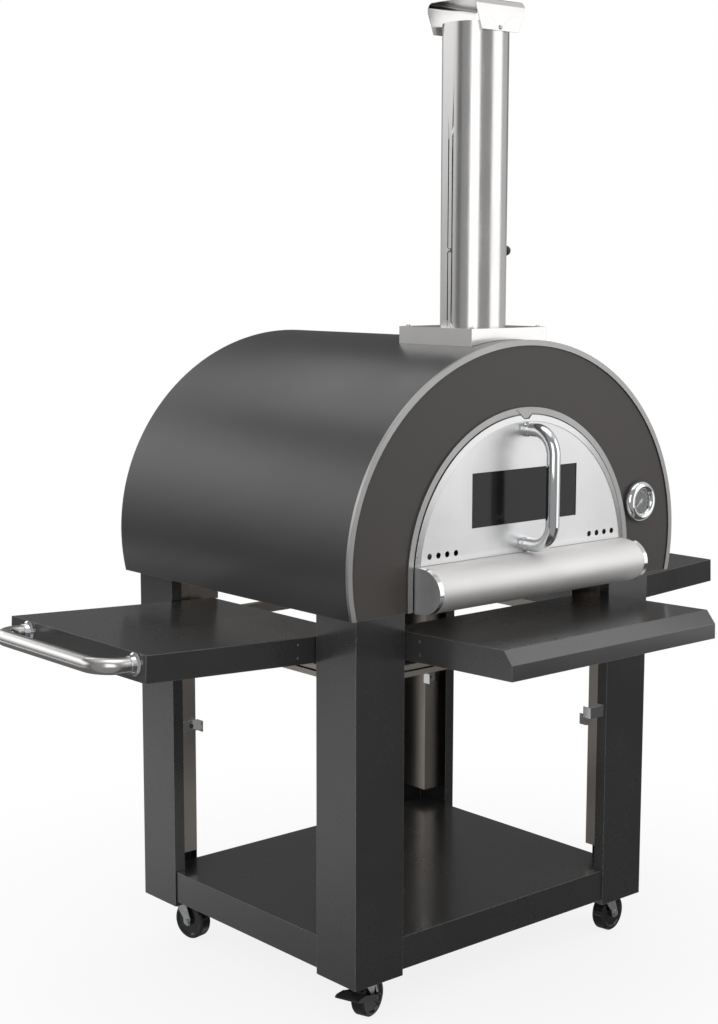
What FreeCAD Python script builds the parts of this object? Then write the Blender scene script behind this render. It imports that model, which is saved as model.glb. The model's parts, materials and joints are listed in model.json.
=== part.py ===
import FreeCAD, Part
import math
import os

# Wood fired pizza oven on a four-legged cart with casters, side tables and a chimney.
# Millimetres. +Z up, -Y is the front (door side), +X is the right-hand side seen from the front.
# Every function below works in cart coordinates: the cart's centre is x = 0, y = 0 on the floor.
# write() then moves each piece so that the origin is the middle of the overall footprint.

V = FreeCAD.Vector
X_AXIS, Y_AXIS, Z_AXIS = V(1, 0, 0), V(0, 1, 0), V(0, 0, 1)

# ---------------------------------------------------------------- driving dimensions
SHEET = 1.5                      # thickness of the folded sheet parts
THIN = 1.0                       # thickness of trims and liners

CART_HALF_X, CART_HALF_Y = 386.0, 330.5      # outer faces of the legs
LEG_X, LEG_Y = 114.0, 108.0                  # leg size along X and along Y
LEG_LIP = 24.0
LEG_BOTTOM, LEG_TOP = 86.0, 762.0
COLUMN_X, COLUMN_Y = 69.0, 87.0              # inner steel column inside each leg cover
COLUMN_BOTTOM, COLUMN_TOP = 185.0, 757.0
GUSSET_X, GUSSET_REACH, GUSSET_Z, GUSSET_SHEET = 260.0, 70.0, 700.0, 3.0

SHELF_X0, SHELF_X1 = -383.0, 340.0           # bottom shelf
SHELF_Y0, SHELF_Y1 = -327.5, 269.0
SHELF_TOP, SHELF_DROP = 158.0, 62.0
SHELF_LEG_DROP = 18.0                        # the rim is shallower inside the legs

RAIL_BOTTOM, RAIL_TOP = 637.0, 660.0         # tie rails between the legs
RAIL_DEPTH, RAIL_INSET, RAIL_SLOT = 15.0, 8.0, 3.0

HOOK_THICK, HOOK_TALL, HOOK_LOW = 2.0, 22.4, 434.7        # utensil hooks
HOOK_BASE, HOOK_REACH, HOOK_TIP = 34.0, 5.0, 19.0
FRONT_HOOK_Y, FRONT_HOOK_LOW = -326.5, 478.0

TABLE_TOP, TABLE_DROP, TABLE_TILT = 712.0, 48.0, 2.8      # side tables, tilt in degrees
TABLE_INNER_LEFT, TABLE_INNER_RIGHT = 289.0, 342.0
TABLE_OUTER_LEFT, TABLE_OUTER_RIGHT = 744.0, 738.0
TABLE_HALF_Y = 218.0
GRIP_OFFSET_Y, GRIP_HALF_SPAN, GRIP_REACH, GRIP_DROP = -15.0, 171.0, 68.0, 20.0
GRIP_RADIUS, GRIP_BEND = 14.0, 42.0

FRONT_TABLE_TOP, FRONT_TABLE_DROP, FRONT_TABLE_TILT = 724.0, 52.0, 1.5
FRONT_TABLE_HALF_X = 270.0
FRONT_TABLE_Y0, FRONT_TABLE_Y1 = -592.0, -285.0
CHAMFER_BACK, CHAMFER_DOWN = 19.0, 24.0

SHELL_A, SHELL_B, SHELL_Z = 426.0, 386.0, 844.0           # outer arch: half width, height, centre
BODY_BOTTOM = 762.0
BODY_Y0, BODY_Y1 = -357.0, 337.0
EDGE_TRIM, EDGE_WRAP = 9.0, 6.5                          # face width and depth of the edge trim

DOME_A, DOME_B, DOME_Z = 330.0, 312.0, 816.0              # inner vault
DOME_Y0, DOME_Y1 = -345.0, 262.0
HEARTH_TOP, TILE, TRAY_Z = 835.0, 25.0, 806.0
HEARTH_HALF_X = 312.0

MOUTH_R, MOUTH_Z = 290.0, 819.0                           # outer edge of the opening trim
MOUTH_TRIM = 12.0
STOP_R = 267.0                                            # recessed ring the door closes against
DOOR_R, DOOR_BOTTOM = 276.0, 842.2
DOOR_RIM, RIM_FALL = 12.0, 1.8                            # bright border of the door, and its slope
DOOR_FACE_Y = -360.2
PLUG_R, PLUG_BACK_Y = 258.0, -322.0
WINDOW_HALF_X, WINDOW_Z0, WINDOW_Z1 = 137.5, 898.0, 997.0
VENT_X, VENT_Z, VENT_R = (176.5, 198.0, 219.5, 241.0), 858.0, 5.3
HANDLE_Z0, HANDLE_Z1, HANDLE_Y = 857.0, 1069.0, -428.0    # centre lines of the handle bar
HANDLE_RADIUS, HANDLE_BEND = 12.7, 44.0
KEEPER_LOW, KEEPER_HALF, KEEPER_FLARE = 269.5, 5.0, 1.18  # tab that locates the door, flared upwards
KEEPER_CLEARANCE = 1.2

CONSOLE_HALF_X, CONSOLE_DEPTH, CONSOLE_FLAT = 275.0, 66.0, 16.0
CONSOLE_Z0, CONSOLE_Z1 = 760.0, 842.0
CONSOLE_CAP = 10.0

GAUGE_X, GAUGE_Z, GAUGE_R, GAUGE_DEPTH = 323.7, 907.7, 40.5, 17.5
BEZEL = 18.0                                              # width of the bezel around the dial
STEM_R, STEM_TIP_Y = 3.0, -300.0

FLUE_Y, FLUE_R, FLUE_BOTTOM, FLUE_TOP = -217.0, 61.5, 1131.0, 1802.0
FLUE_WALL = 1.2
COLLAR_FLANGE = 12.0                                      # ring on the vault, outside the flue
BOX_HALF_X, BOX_Y0, BOX_Y1, BOX_TOP = 98.0, -314.0, -120.0, 1252.0
DAMPER_Z, DAMPER_PLATE_R, ROD_R = 1393.0, 57.5, 4.0
CAP_TOP, CAP_HALF_X, CAP_WALL = 1841.0, 62.0, 56.0
CAP_BEND = 12.0

WHEEL_R, WHEEL_WIDTH, AXLE_R, AXLE_HEAD_R = 37.5, 28.0, 4.0, 6.0
CASTER_TRAIL, FORK_TOP, FORK_SHEET = 27.0, 84.0, 2.5
FORK_HALF_WIDTH, KINGPIN_R = 18.5, 5.0
PEDAL_HALF_WIDTH, PEDAL_ARM = 25.2, 2.0
CASTER_PLATE_Z, CASTER_PLATE, FOOT_PLATE = 93.5, 2.5, 3.0
CASTER_BOLT_X, CASTER_BOLT_Y, CASTER_BOLT_R = 24.0, 20.0, 3.0
RUNNING = 0.05                                            # radial clearance of pins in bores
# caster name, leg signs (x, y), heading of the wheel from the kingpin in degrees, has a brake
CASTERS = (
    ("front_left", -1, -1, 18.0, True),
    ("front_right", 1, -1, 8.0, False),
    ("rear_left", -1, 1, 281.0, False),
    ("rear_right", 1, 1, 34.0, True),
)


def tilted_reach(pivot, distance, drop, tilt):
    """How far out a point under a tilted table's edge lies; the tilt is about the pivot."""
    angle = math.radians(tilt)
    return pivot + (distance - pivot) * math.cos(angle) + drop * math.sin(angle)


# The overall footprint, left handle to right table and front table to rear panel, sets the origin.
LEFT_END = -tilted_reach(CART_HALF_X, TABLE_OUTER_LEFT + GRIP_REACH, GRIP_DROP, TABLE_TILT) - GRIP_RADIUS
RIGHT_END = tilted_reach(CART_HALF_X, TABLE_OUTER_RIGHT, TABLE_DROP, TABLE_TILT)
FRONT_END = -tilted_reach(CART_HALF_Y, -FRONT_TABLE_Y0, FRONT_TABLE_DROP, FRONT_TABLE_TILT)
ORIGIN_X = (LEFT_END + RIGHT_END) / 2
ORIGIN_Y = (FRONT_END + BODY_Y1) / 2


# ---------------------------------------------------------------- helpers
def box(x0, x1, y0, y1, z0, z1):
    return Part.makeBox(x1 - x0, y1 - y0, z1 - z0, V(x0, y0, z0))


def rod(radius, start, end):
    line = V(*end) - V(*start)
    return Part.makeCylinder(radius, line.Length, V(*start), line)


def tube(outer, inner, start, end):
    return rod(outer, start, end).cut(rod(inner, start, end))


def prism(points, direction):
    """Solid from a closed polygon of 3-D points pushed along a vector."""
    corners = [V(*p) for p in points]
    face = Part.Face(Part.makePolygon(corners + corners[:1]))
    return face.extrude(V(*direction))


def strip_outline(path, thickness):
    """Outline of a folded strip: the path, and the same path moved left by the thickness."""
    moved = []
    count = len(path)
    for i, (px, py) in enumerate(path):
        normals = []
        for j in (i - 1, i):
            if 0 <= j < count - 1:
                dx, dy = path[j + 1][0] - path[j][0], path[j + 1][1] - path[j][1]
                size = math.hypot(dx, dy)
                normals.append((-dy / size, dx / size))
        nx, ny = sum(n[0] for n in normals), sum(n[1] for n in normals)
        scale = thickness * len(normals) / (nx * nx + ny * ny)
        moved.append((px + nx * scale, py + ny * scale))
    return list(path) + moved[::-1]


def folded(path, thickness, z0, z1):
    """Upright folded strip between two heights, from its path in plan."""
    return prism([(x, y, z0) for x, y in strip_outline(path, thickness)], (0, 0, z1 - z0))


def wire_of(*edges):
    return Part.Wire(Part.__sortEdges__(list(edges)))


def arch_face(a, b, centre_z, bottom_z, y):
    """Face bounded by an upright elliptical arch and a flat bottom, in the plane y."""
    edge = arch_edge(a, b, centre_z, math.asin((bottom_z - centre_z) / b), y)
    ends = [v.Point for v in edge.Vertexes]
    return Part.Face(wire_of(edge, Part.makeLine(ends[0], ends[-1])))


def arch_edge(a, b, centre_z, start, y):
    """Ellipse arc in the plane y, from the angle start up and over to 180 degrees minus start."""
    major, minor = max(a, b), min(a, b)
    flat = Part.Ellipse(V(0, 0, 0), major, minor)
    if a >= b:
        edge = flat.toShape(start, math.pi - start)
        placed = edge.rotated(V(0, 0, 0), X_AXIS, 90)
    else:
        edge = flat.toShape(start - math.pi / 2, math.pi / 2 - start)
        placed = edge.rotated(V(0, 0, 0), Z_AXIS, 90).rotated(V(0, 0, 0), X_AXIS, 90)
    return placed.translated(V(0, y, centre_z))


def arch(a, b, centre_z, bottom_z, y0, y1):
    """Arch-shaped block between two planes."""
    return arch_face(a, b, centre_z, bottom_z, y0).extrude(V(0, y1 - y0, 0))


def bent_tube(points, bend, radius):
    """Round bar that follows a line of points with rounded corners."""
    edges = []
    start = V(*points[0])
    for i in range(1, len(points) - 1):
        corner = V(*points[i])
        before = (V(*points[i - 1]) - corner).normalize()
        after = (V(*points[i + 1]) - corner).normalize()
        half = before.getAngle(after) / 2
        reach = bend / math.tan(half)
        middle_way = (before + after).normalize()
        mid = corner + middle_way * (bend / math.sin(half) - bend)
        edges.append(Part.makeLine(start, corner + before * reach))
        edges.append(Part.Arc(corner + before * reach, mid, corner + after * reach).toShape())
        start = corner + after * reach
    edges.append(Part.makeLine(start, V(*points[-1])))
    path = Part.Wire(edges)
    first = (V(*points[1]) - V(*points[0])).normalize()
    circle = Part.Wire(Part.makeCircle(radius, V(*points[0]), first))
    return path.makePipeShell([circle], True, False)


def turned(profile, centre, axis=Z_AXIS):
    """Solid of revolution from (radius, height) points, standing on centre along an axis."""
    points = [V(r, 0, h) for r, h in profile]
    face = Part.Face(Part.makePolygon(points + points[:1]))
    solid = face.revolve(V(0, 0, 0), Z_AXIS, 360)
    solid.Placement = FreeCAD.Placement(V(*centre), FreeCAD.Rotation(Z_AXIS, axis))
    return solid


def compound(solids):
    return Part.makeCompound(list(solids))


def legs():
    """The four leg corners as (sign x, sign y)."""
    return [(sx, sy) for sy in (-1, 1) for sx in (-1, 1)]


def mirrored(path, sx, sy):
    """Plan path drawn for the front-left leg (negative x and y), moved to another leg."""
    moved = [(-x * sx, -y * sy) for x, y in path]
    return moved if sx * sy > 0 else moved[::-1]


def screw(centre, axis, head_r, head_h, length, shank_r):
    """Domed-head screw: the head stands on centre, the shank goes back along -axis."""
    profile = [(0, -length), (shank_r, -length), (shank_r, 0), (head_r, 0),
               (head_r, head_h * 0.5), (head_r * 0.72, head_h), (0, head_h)]
    return turned(profile, centre, V(*axis))


# ---------------------------------------------------------------- cart
def leg_cover(sx, sy):
    ix, iy = CART_HALF_X - LEG_X, CART_HALF_Y - LEG_Y
    path = [(-ix, -CART_HALF_Y + LEG_LIP), (-ix, -CART_HALF_Y), (-CART_HALF_X, -CART_HALF_Y),
            (-CART_HALF_X, -iy), (-CART_HALF_X + LEG_LIP, -iy)]
    return folded(mirrored(path[::-1], sx, sy), SHEET, LEG_BOTTOM, LEG_TOP)


def leg_covers():
    screws = compound(hook_screws())
    return compound(leg_cover(sx, sy).cut(screws) for sx, sy in legs())


def leg_column(sx, sy):
    x0, y0 = -CART_HALF_X + SHEET, -CART_HALF_Y + SHEET
    x1, y1 = -CART_HALF_X + COLUMN_X, -CART_HALF_Y + COLUMN_Y
    path = [(x1, y0), (x1, y1), (x0, y1)]
    return folded(mirrored(path, sx, sy), SHEET, COLUMN_BOTTOM, COLUMN_TOP)


def gusset(sx, sy):
    """Upright plate on the inner side of a column, under the body."""
    x = sorted((sx * GUSSET_X, sx * (GUSSET_X + GUSSET_REACH)))
    face = CART_HALF_Y - COLUMN_Y
    y = sorted((sy * face, sy * (face - GUSSET_SHEET)))
    return box(*x, *y, GUSSET_Z, COLUMN_TOP)


def leg_columns():
    """Steel angle inside each leg cover, and the gusset plates at their tops."""
    screws = compound(hook_screws())
    columns = [leg_column(sx, sy).cut(screws) for sx, sy in legs()]
    return compound(columns + [gusset(sx, sy) for sx, sy in legs()])


def leg_centre(sx, sy):
    return sx * (CART_HALF_X - LEG_X / 2), sy * (CART_HALF_Y - LEG_Y / 2)


def leg_plates(z0, z1):
    """Flat plates that fill the legs' section, one inside each cover, as separate solids."""
    plates = []
    for sx, sy in legs():
        x = sorted((sx * (CART_HALF_X - SHEET), sx * (CART_HALF_X - LEG_X + SHEET)))
        y = sorted((sy * (CART_HALF_Y - SHEET), sy * (CART_HALF_Y - LEG_Y + SHEET)))
        plates.append(box(*x, *y, z0, z1))
    return plates


def leg_end_plates():
    """Foot plates that take the casters, and top plates that carry the oven body."""
    z = CASTER_PLATE_Z + CASTER_PLATE
    holes = caster_bolt_holes(z - 1, z + FOOT_PLATE + 1)
    feet = [plate.cut(holes) for plate in leg_plates(z, z + FOOT_PLATE)]
    return compound(feet + leg_plates(COLUMN_TOP, BODY_BOTTOM))


def bottom_shelf():
    """Tray with its rim folded down; its corners reach into the open sides of the legs."""
    outer = box(SHELF_X0, SHELF_X1, SHELF_Y0, SHELF_Y1, SHELF_TOP - SHELF_DROP, SHELF_TOP)
    inner = box(SHELF_X0 + SHEET, SHELF_X1 - SHEET, SHELF_Y0 + SHEET, SHELF_Y1 - SHEET,
                SHELF_TOP - SHELF_DROP - 1, SHELF_TOP - SHEET)
    shelf = outer.cut(inner)
    for sx, sy in legs():
        near_x, near_y = CART_HALF_X - LEG_X - 0.5, CART_HALF_Y - LEG_Y - 0.5
        x = sorted((sx * (CART_HALF_X + 1), sx * near_x))
        y = sorted((sy * (CART_HALF_Y + 1), sy * near_y))
        shelf = shelf.cut(box(*x, *y, 0, SHELF_TOP - SHELF_LEG_DROP))
        x_slot = sorted((sx * near_x, sx * (near_x + SHEET + 1)))
        y_slot = sorted((sy * near_y, sy * (near_y + SHEET + 1)))
        x_lip = sorted((sx * (CART_HALF_X + 1), sx * (CART_HALF_X - LEG_LIP - 1)))
        y_lip = sorted((sy * (CART_HALF_Y + 1), sy * (CART_HALF_Y - LEG_LIP - 1)))
        shelf = shelf.cut(box(*x_slot, *y_lip, 0, SHELF_TOP + 1))
        shelf = shelf.cut(box(*x_lip, *y_slot, 0, SHELF_TOP + 1))
    return shelf


def shelf_brackets():
    """Angle brackets that carry the shelf from the inner sides of the legs, as solids."""
    thick, width, depth, height, inset = 3, 44, 20, 40, 6
    top = SHELF_TOP - SHEET
    edge = CART_HALF_Y - LEG_Y - 0.5
    near = CART_HALF_X - LEG_X + inset
    made = []
    for sx, sy in legs():
        x = sorted((sx * near, sx * (near + width)))
        y = sorted((sy * edge, sy * (edge - depth)))
        wall = sorted((sy * edge, sy * (edge - thick)))
        seat = box(*x, *y, top - thick, top)
        made.append(seat.fuse(box(*x, *wall, SHELF_TOP - height, top)).removeSplitter())
    return made


def rail_section(inner, outer):
    """Lipped channel, open to the outside through a slot: (offset, height) outline."""
    middle = (RAIL_BOTTOM + RAIL_TOP) / 2
    step = SHEET if outer > inner else -SHEET
    return [(outer, middle - RAIL_SLOT / 2), (outer, RAIL_BOTTOM), (inner, RAIL_BOTTOM),
            (inner, RAIL_TOP), (outer, RAIL_TOP), (outer, middle + RAIL_SLOT / 2),
            (outer - step, middle + RAIL_SLOT / 2), (outer - step, RAIL_TOP - SHEET),
            (inner + step, RAIL_TOP - SHEET), (inner + step, RAIL_BOTTOM + SHEET),
            (outer - step, RAIL_BOTTOM + SHEET), (outer - step, middle - RAIL_SLOT / 2)]


def side_rails():
    rails = []
    half = CART_HALF_Y - LEG_Y
    for side in (-1, 1):
        outer = side * (CART_HALF_X - RAIL_INSET)
        section = rail_section(outer - side * RAIL_DEPTH, outer)
        rails.append(prism([(x, -half, z) for x, z in section], (0, 2 * half, 0)))
    return rails


def cross_rails():
    rails = []
    half = CART_HALF_X - LEG_X
    for side in (-1, 1):
        outer = side * (CART_HALF_Y - RAIL_INSET)
        section = rail_section(outer - side * RAIL_DEPTH, outer)
        rails.append(prism([(-half, y, z) for y, z in section], (2 * half, 0, 0)))
    return rails


def tie_rails():
    """Ring of four slotted rails that ties the legs together under the tables."""
    return compound(side_rails() + cross_rails())


def tool_hooks():
    """Bent hooks of flat strip on the legs, for utensils: a base and a turned-up tip."""
    face_y = CART_HALF_Y - COLUMN_Y
    corner_x = CART_HALF_X - COLUMN_X
    made = []
    for sx, sy in legs():
        path = [(sx * (corner_x + HOOK_BASE), sy * face_y), (sx * (corner_x - HOOK_REACH), sy * face_y),
                (sx * (corner_x - HOOK_REACH), sy * (face_y - HOOK_TIP))]
        side = HOOK_THICK if sx * sy > 0 else -HOOK_THICK
        made.append(folded(path, side, HOOK_LOW, HOOK_LOW + HOOK_TALL))
    made.append(front_hook())
    screws = compound(hook_screws())
    return compound(hook.cut(screws) for hook in made)


def front_hook():
    """Longer hook on the front-right leg's lip, above the others, with its tip turned back."""
    lip_x, reach, tip = CART_HALF_X - LEG_X, 42, 20
    path = [(lip_x, FRONT_HOOK_Y + LEG_LIP - 6), (lip_x, FRONT_HOOK_Y), (lip_x - reach, FRONT_HOOK_Y),
            (lip_x - reach, FRONT_HOOK_Y + tip)]
    return folded(path, -HOOK_THICK, FRONT_HOOK_LOW, FRONT_HOOK_LOW + HOOK_TALL)


def hook_screws():
    head_r, head_h, length, shank_r = 4.5, 3.0, 3.5, 2.0
    face_y = CART_HALF_Y - COLUMN_Y - HOOK_THICK
    middle = HOOK_LOW + HOOK_TALL / 2
    made = []
    for sx, sy in legs():
        place = (sx * (CART_HALF_X - COLUMN_X + 12), sy * face_y, middle)
        made.append(screw(place, (0, -sy, 0), head_r, head_h, length, shank_r))
    place = (CART_HALF_X - LEG_X - HOOK_THICK, FRONT_HOOK_Y + 10, FRONT_HOOK_LOW + HOOK_TALL / 2)
    made.append(screw(place, (-1, 0, 0), head_r, head_h, length, shank_r))
    return made


# ---------------------------------------------------------------- tables
def tray_shell(x0, x1, y0, y1, top, drop):
    outer = box(x0, x1, y0, y1, top - drop, top)
    inner = box(x0 + SHEET, x1 - SHEET, y0 + SHEET, y1 - SHEET, top - drop - 1, top - SHEET)
    return outer.cut(inner)


def tilt_table(shape, side):
    """Side tables rise slightly outwards; the turn is about the leg's outer face."""
    return shape.rotated(V(side * CART_HALF_X, 0, TABLE_TOP), Y_AXIS, -side * TABLE_TILT)


def side_table(side):
    inner, outer = TABLE_INNER_RIGHT, TABLE_OUTER_RIGHT
    if side < 0:
        inner, outer = TABLE_INNER_LEFT, TABLE_OUTER_LEFT
    x0, x1 = sorted((side * inner, side * outer))
    tray = tray_shell(x0, x1, -TABLE_HALF_Y, TABLE_HALF_Y, TABLE_TOP, TABLE_DROP)
    return tilt_table(tray, side).cut(compound(table_screws()))


def tilt_front(shape):
    return shape.rotated(V(0, -CART_HALF_Y, FRONT_TABLE_TOP), X_AXIS, -FRONT_TABLE_TILT)


def front_profile(inset, drop):
    """Side outline of the front table: flat top, chamfered nose, short front edge."""
    nose = FRONT_TABLE_Y0 + inset
    top = FRONT_TABLE_TOP - inset
    bottom = FRONT_TABLE_TOP - drop
    ease = inset * 0.4
    return [(FRONT_TABLE_Y1 - inset, bottom), (FRONT_TABLE_Y1 - inset, top),
            (nose + CHAMFER_BACK - ease, top), (nose, FRONT_TABLE_TOP - CHAMFER_DOWN - ease),
            (nose, bottom)]


def front_table():
    half = FRONT_TABLE_HALF_X
    outer = prism([(-half, y, z) for y, z in front_profile(0, FRONT_TABLE_DROP)], (2 * half, 0, 0))
    start = -half + SHEET
    hollow = prism([(start, y, z) for y, z in front_profile(SHEET, FRONT_TABLE_DROP + 1)],
                   (2 * (half - SHEET), 0, 0))
    return tilt_front(outer.cut(hollow)).cut(compound(table_screws()))


def support_brackets():
    """Shelf angles, and flat bars inside the skirts that carry the tables."""
    thick, reach, lap, top, bottom = 3, 90, 8, 6, 42
    bars = []
    for side in (-1, 1):
        x = sorted((side * (CART_HALF_X - lap), side * (CART_HALF_X + reach)))
        for sy in (-1, 1):
            y = sorted((sy * (TABLE_HALF_Y - SHEET), sy * (TABLE_HALF_Y - SHEET - thick)))
            bars.append(tilt_table(box(*x, *y, TABLE_TOP - bottom, TABLE_TOP - top), side))
    for sx in (-1, 1):
        x = sorted((sx * (FRONT_TABLE_HALF_X - SHEET), sx * (FRONT_TABLE_HALF_X - SHEET - thick)))
        bars.append(tilt_front(box(*x, -CART_HALF_Y - reach, -CART_HALF_Y + lap,
                                   FRONT_TABLE_TOP - bottom - 2, FRONT_TABLE_TOP - top)))
    screws = compound(table_screws())
    return compound([bar.cut(screws) for bar in bars] + shelf_brackets())


def table_screws():
    """Two small screws through each skirt near the legs, as solids."""
    head_r, head_h, length, shank_r = 2.8, 1.4, 6.0, 1.5
    made = []
    for side in (-1, 1):
        for sy in (-1, 1):
            for down in (12, 36):
                place = (side * (CART_HALF_X + 36), sy * TABLE_HALF_Y, TABLE_TOP - down)
                made.append(tilt_table(screw(place, (0, sy, 0), head_r, head_h, length, shank_r), side))
    for sx in (-1, 1):
        for down in (14, 38):
            place = (sx * FRONT_TABLE_HALF_X, -CART_HALF_Y - 36, FRONT_TABLE_TOP - down)
            made.append(tilt_front(screw(place, (sx, 0, 0), head_r, head_h, length, shank_r)))
    return made


def cart_screws():
    return compound(table_screws() + hook_screws())


def grip_points():
    x = -TABLE_OUTER_LEFT
    z = TABLE_TOP - GRIP_DROP
    y0, y1 = GRIP_OFFSET_Y - GRIP_HALF_SPAN, GRIP_OFFSET_Y + GRIP_HALF_SPAN
    return x, z, y0, y1


def table_grip():
    """Bent steel handle bar on the outer end of the left table."""
    x, z, y0, y1 = grip_points()
    out = x - GRIP_REACH
    return tilt_table(bent_tube([(x, y0, z), (out, y0, z), (out, y1, z), (x, y1, z)],
                                GRIP_BEND, GRIP_RADIUS), -1)


def table_grip_flanges():
    x, z, y0, y1 = grip_points()
    profile = [(GRIP_RADIUS, 0), (20, 0), (20, 2.5), (16.5, 6), (15.5, 14), (GRIP_RADIUS, 14)]
    rings = [turned(profile, (x, y, z), V(-1, 0, 0)) for y in (y0, y1)]
    return tilt_table(compound(rings), -1)


# ---------------------------------------------------------------- casters
def caster_bolt_places():
    """Bolt centres of the four casters, four to a caster."""
    places = []
    for sx, sy in legs():
        cx, cy = leg_centre(sx, sy)
        for dx in (-CASTER_BOLT_X, CASTER_BOLT_X):
            for dy in (-CASTER_BOLT_Y, CASTER_BOLT_Y):
                places.append((cx + dx, cy + dy))
    return places


def caster_bolt_holes(z0, z1):
    return compound(rod(CASTER_BOLT_R + 0.1, (x, y, z0), (x, y, z1)) for x, y in caster_bolt_places())


def caster_top_plates():
    """Mounting plates with the upper ball race, one per caster."""
    half_x, half_y, race_low = 32, 28, FORK_TOP + 3.1
    z0, z1 = CASTER_PLATE_Z, CASTER_PLATE_Z + CASTER_PLATE
    holes = caster_bolt_holes(z0 - 1, z1 + 1)
    made = []
    for sx, sy in legs():
        cx, cy = leg_centre(sx, sy)
        plate = box(cx - half_x, cx + half_x, cy - half_y, cy + half_y, z0, z1).cut(holes)
        race = turned([(0, race_low), (20, race_low), (23, z0), (0, z0)], (cx, cy, 0))
        body = plate.fuse(race).removeSplitter()
        made.append(body.cut(rod(KINGPIN_R, (cx, cy, race_low - 1), (cx, cy, z1 + 1))))
    return compound(made)


def kingpins():
    """Swivel rivets: a shank through the race, held by a head under the fork's crown."""
    under = FORK_TOP - FORK_SHEET - 0.1
    top = CASTER_PLATE_Z + CASTER_PLATE - 0.1
    profile = [(0, under - 3), (8, under - 3), (8, under), (KINGPIN_R, under), (KINGPIN_R, top), (0, top)]
    return [turned(profile, (*leg_centre(sx, sy), 0)) for sx, sy in legs()]


def caster_fasteners():
    """The kingpins, and the bolts that hold the casters' plates to the legs' foot plates."""
    head_r, head_h, length = 5.5, 4.0, 9.5
    z = CASTER_PLATE_Z + CASTER_PLATE + FOOT_PLATE
    bolts = [screw((x, y, z), (0, 0, 1), head_r, head_h, length, CASTER_BOLT_R)
             for x, y in caster_bolt_places()]
    return compound(kingpins() + bolts)


def at_caster(shape, sx, sy, heading):
    """Put a shape drawn with the kingpin at the origin and the wheel towards +X onto a leg."""
    cx, cy = leg_centre(sx, sy)
    return shape.rotated(V(0, 0, 0), Z_AXIS, heading).translated(V(cx, cy, 0))


def caster_fork():
    """Pressed fork: round crown with two cheeks that taper to the axle."""
    thick = FORK_SHEET
    half = FORK_HALF_WIDTH - thick
    crown = turned([(0, FORK_TOP - thick), (24, FORK_TOP - thick), (24, FORK_TOP), (0, FORK_TOP)], (0, 0, 0))
    crown = crown.fuse(turned([(13, FORK_TOP), (21, FORK_TOP), (19, FORK_TOP + 3), (15, FORK_TOP + 3)],
                              (0, 0, 0)))
    cheek = [(-17, FORK_TOP - 1), (20, FORK_TOP - 1), (CASTER_TRAIL + 9, WHEEL_R + 6),
             (CASTER_TRAIL + 7.5, WHEEL_R - 6), (CASTER_TRAIL, WHEEL_R - 10),
             (CASTER_TRAIL - 7.5, WHEEL_R - 6), (CASTER_TRAIL - 11, WHEEL_R + 6)]
    fork = crown
    for side in (-1, 1):
        start = half if side > 0 else -half - thick
        fork = fork.fuse(prism([(x, start, z) for x, z in cheek], (0, thick, 0)))
    fork = fork.fuse(box(-14, 16, -half - thick, half + thick, FORK_TOP - thick, FORK_TOP))
    fork = fork.cut(rod(AXLE_R, (CASTER_TRAIL, -30, WHEEL_R), (CASTER_TRAIL, 30, WHEEL_R)))
    return fork.cut(rod(KINGPIN_R + RUNNING, (0, 0, WHEEL_R), (0, 0, LEG_BOTTOM + 10))).removeSplitter()


def caster_axle():
    """Axle bolt with a head and a nut outside the fork's cheeks."""
    half, end = FORK_HALF_WIDTH, FORK_HALF_WIDTH + 4
    profile = [(0, -end), (AXLE_HEAD_R, -end), (AXLE_HEAD_R, -half), (AXLE_R, -half), (AXLE_R, half),
               (AXLE_HEAD_R, half), (AXLE_HEAD_R, end), (0, end)]
    return turned(profile, (CASTER_TRAIL, 0, WHEEL_R), Y_AXIS)


def caster_wheel():
    """Moulded wheel with a rounded tread, dished sides and a bored hub."""
    half = WHEEL_WIDTH / 2
    bore = AXLE_R + RUNNING
    profile = [(bore, -half - 1.5), (9, -half - 1.5), (9, -half + 3), (27, -half + 3), (30, -half),
               (WHEEL_R - 3, -half), (WHEEL_R, -half + 3.5), (WHEEL_R, half - 3.5),
               (WHEEL_R - 3, half), (30, half), (27, half - 3), (9, half - 3), (9, half + 1.5),
               (bore, half + 1.5)]
    return turned(profile, (CASTER_TRAIL, 0, WHEEL_R), Y_AXIS)


def brake_pedal():
    """Foot pedal hinged on the axle's ends: two arms outside the fork, and a tread pad at the back."""
    x, z = CASTER_TRAIL, WHEEL_R
    outside = PEDAL_HALF_WIDTH
    inside = outside - PEDAL_ARM
    pedal = prism([(-14, -outside, z + 10), (-21, -outside, z + 8), (-44, -outside, z + 15),
                   (-45, -outside, z + 19), (-38, -outside, z + 21), (-16, -outside, z + 20)],
                  (0, 2 * outside, 0))
    for side in (-1, 1):
        y = inside if side > 0 else -outside
        arm = prism([(x + 7, y, z + 4), (x + 3, y, z - 7), (x - 6, y, z - 5), (-18, y, z + 9),
                     (-18, y, z + 20), (x - 2, y, z + 8)], (0, PEDAL_ARM, 0))
        start = side * (FORK_HALF_WIDTH + 0.2)
        boss = rod(AXLE_HEAD_R + 3.5, (x, start, z), (x, side * outside, z))
        pedal = pedal.fuse(arm).fuse(boss)
    hole = rod(AXLE_HEAD_R + RUNNING, (x, -outside - 1, z), (x, outside + 1, z))
    return pedal.cut(hole).removeSplitter()


# ---------------------------------------------------------------- oven body
def shell_arch(inset, y0, y1, bottom=BODY_BOTTOM):
    return arch(SHELL_A - inset, SHELL_B - inset, SHELL_Z, bottom, y0, y1)


def mouth_block(radius, y0, y1, bottom):
    """Round-topped opening with straight sides, as a block."""
    block = rod(radius, (0, y0, MOUTH_Z), (0, y1, MOUTH_Z)).cut(
        box(-radius - 1, radius + 1, y0 - 1, y1 + 1, MOUTH_Z - radius - 1, MOUTH_Z))
    return block.fuse(box(-radius, radius, y0, y1, bottom, MOUTH_Z)).removeSplitter()


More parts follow.
